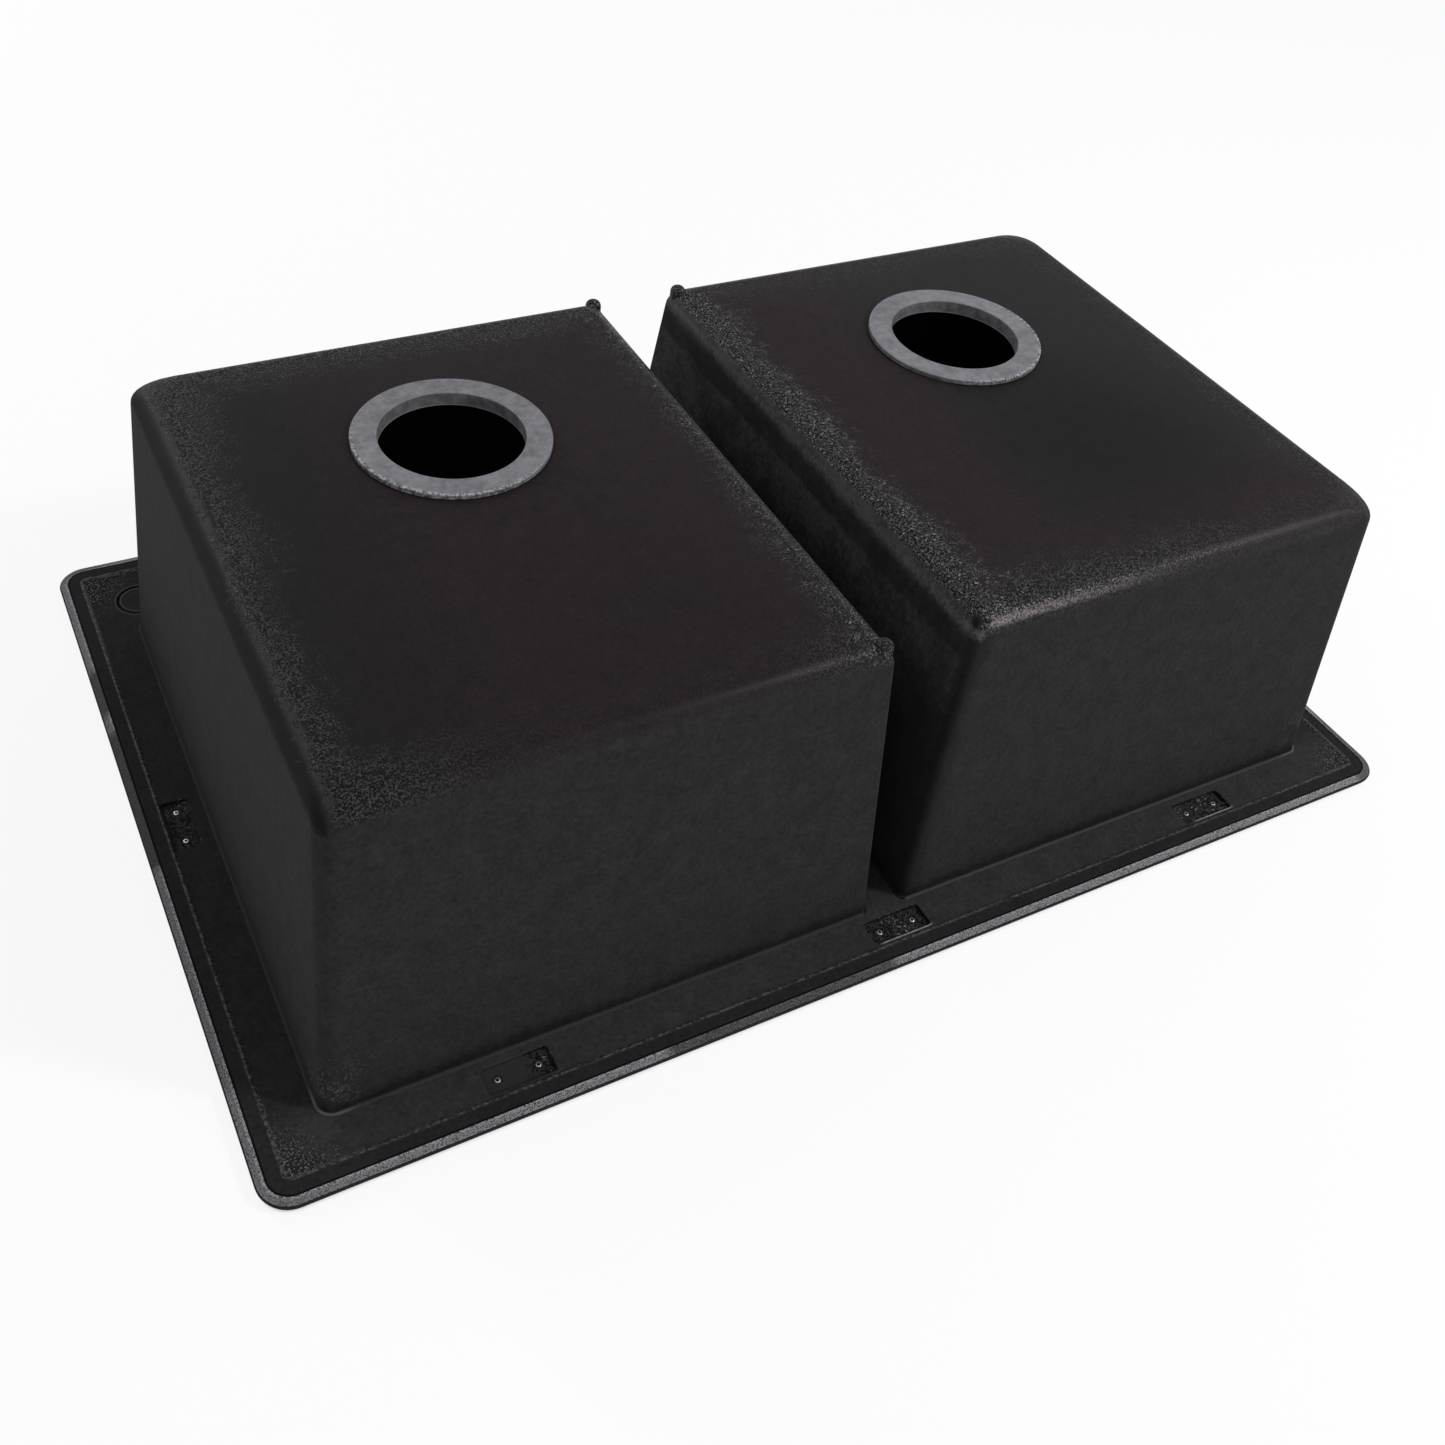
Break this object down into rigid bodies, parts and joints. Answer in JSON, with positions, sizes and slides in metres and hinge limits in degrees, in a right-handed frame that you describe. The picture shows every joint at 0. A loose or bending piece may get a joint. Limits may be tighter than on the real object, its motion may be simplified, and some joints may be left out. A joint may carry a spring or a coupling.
{
  "type": "double bowl kitchen sink",
  "caption": "Moulded stone composite kitchen sink with side-by-side bowls, a rear tap ledge, recessed clip pockets and raised drain collars, standing on its rim.",
  "frame": {"origin": "centre of the rim's show face, which is the face that the sink stands on as stored (upside down); in use the sink is turned half a turn about X and this face is up", "axes": "+X along the sink to the right, +Y from the front towards the tap ledge, +Z from the show face towards the bottoms of the bowls"},
  "size_m": [0.838, 0.5588, 0.2338],
  "materials": {
    "moulded_composite": "black quartz composite as it leaves the mould, satin with a pebbled grain",
    "ground_composite": "the same composite ground flat, light grey and matt",
    "insert_metal": "dull nickel plated brass"
  },
  "bodies": {
    "root": {"rim_deck": "moulded_composite", "left_bowl": "moulded_composite", "right_bowl": "moulded_composite", "left_drain_collar": "ground_composite", "right_drain_collar": "ground_composite", "front_left_insert_1": "insert_metal", "front_left_insert_2": "insert_metal", "front_centre_insert_1": "insert_metal", "front_centre_insert_2": "insert_metal", "front_right_insert_1": "insert_metal", "front_right_insert_2": "insert_metal", "back_left_insert_1": "insert_metal", "back_left_insert_2": "insert_metal", "back_right_insert_1": "insert_metal", "back_right_insert_2": "insert_metal", "left_end_insert_1": "insert_metal", "left_end_insert_2": "insert_metal", "right_end_insert_1": "insert_metal", "right_end_insert_2": "insert_metal"}
  },
  "joints": []
}
